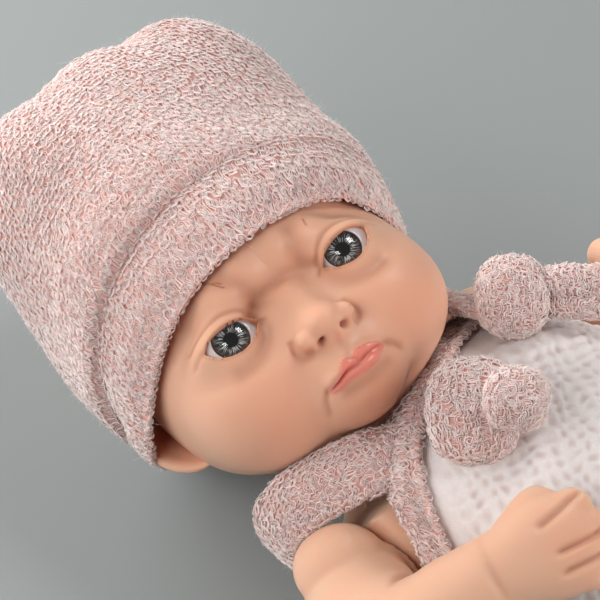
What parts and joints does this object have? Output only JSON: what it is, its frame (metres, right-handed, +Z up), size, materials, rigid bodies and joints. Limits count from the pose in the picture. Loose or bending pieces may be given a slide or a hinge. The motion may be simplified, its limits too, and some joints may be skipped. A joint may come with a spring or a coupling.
{
  "type": "baby doll",
  "caption": "Lying newborn baby doll in soft vinyl with a jointed head, arms and legs, a loose knit hat and a romper with knit band, straps and bows.",
  "frame": {"origin": "middle of the flat patch where the romper's back lies on the floor", "axes": "+X towards the feet, +Y to the doll's left, +Z up out of the doll's front as it lies on its back"},
  "size_m": [0.33, 0.1741, 0.1126],
  "materials": {
    "vinyl": "soft satin vinyl, flesh tone",
    "eye_white": "glossy off-white",
    "iris_grey": "dark grey with pale rays and a black pupil",
    "clear_dome": "clear and glossy",
    "knob_plastic": "plain moulded plastic",
    "knit_rose": "fuzzy heathered rose knit",
    "waffle_white": "brushed white waffle cloth"
  },
  "bodies": {
    "torso": {"torso_shell": "vinyl", "romper_front": "waffle_white", "romper_back": "waffle_white", "neckline_band": "knit_rose", "right_strap": "knit_rose", "left_strap": "knit_rose", "right_leg_band": "knit_rose", "left_leg_band": "knit_rose", "right_bow": "knit_rose", "left_bow": "knit_rose"},
    "neck": {"neck_knob": "knob_plastic"},
    "head": {"head_shell": "vinyl", "right_sclera": "eye_white", "right_iris": "iris_grey", "right_cornea": "clear_dome", "left_sclera": "eye_white", "left_iris": "iris_grey", "left_cornea": "clear_dome", "hat_crown": "knit_rose", "hat_cuff": "knit_rose"},
    "right_arm": {"right_arm": "vinyl"},
    "left_arm": {"left_arm": "vinyl"},
    "right_leg": {"right_leg": "vinyl"},
    "left_leg": {"left_leg": "vinyl"}
  },
  "joints": [
    {"name": "neck_turn", "type": "hinge", "parent": "torso", "child": "neck", "pos_m": [-0.072, 0, 0.038], "axis": [-0.8713, 0, 0.4907], "range_deg": [-4, 32]},
    {"name": "neck_tilt", "type": "hinge", "parent": "neck", "child": "head", "pos_m": [-0.072, 0, 0.038], "axis": [-0.4613, -0.341, -0.8191], "range_deg": [-9, 1]},
    {"name": "right_shoulder", "type": "hinge", "parent": "torso", "child": "right_arm", "pos_m": [-0.052, -0.043, 0.034], "axis": [-0.102, -0.9691, 0.2244], "range_deg": [-2, 42]},
    {"name": "left_shoulder", "type": "hinge", "parent": "torso", "child": "left_arm", "pos_m": [-0.052, 0.043, 0.034], "axis": [-0.102, 0.9691, 0.2244], "range_deg": [-60, 60]},
    {"name": "right_hip", "type": "hinge", "parent": "torso", "child": "right_leg", "pos_m": [0.0475, -0.0375, 0.032], "axis": [0.4601, -0.8602, 0.22], "range_deg": [-30, 60]},
    {"name": "left_hip", "type": "hinge", "parent": "torso", "child": "left_leg", "pos_m": [0.0475, 0.0375, 0.032], "axis": [0.4601, 0.8602, 0.22], "range_deg": [-60, 30]}
  ]
}
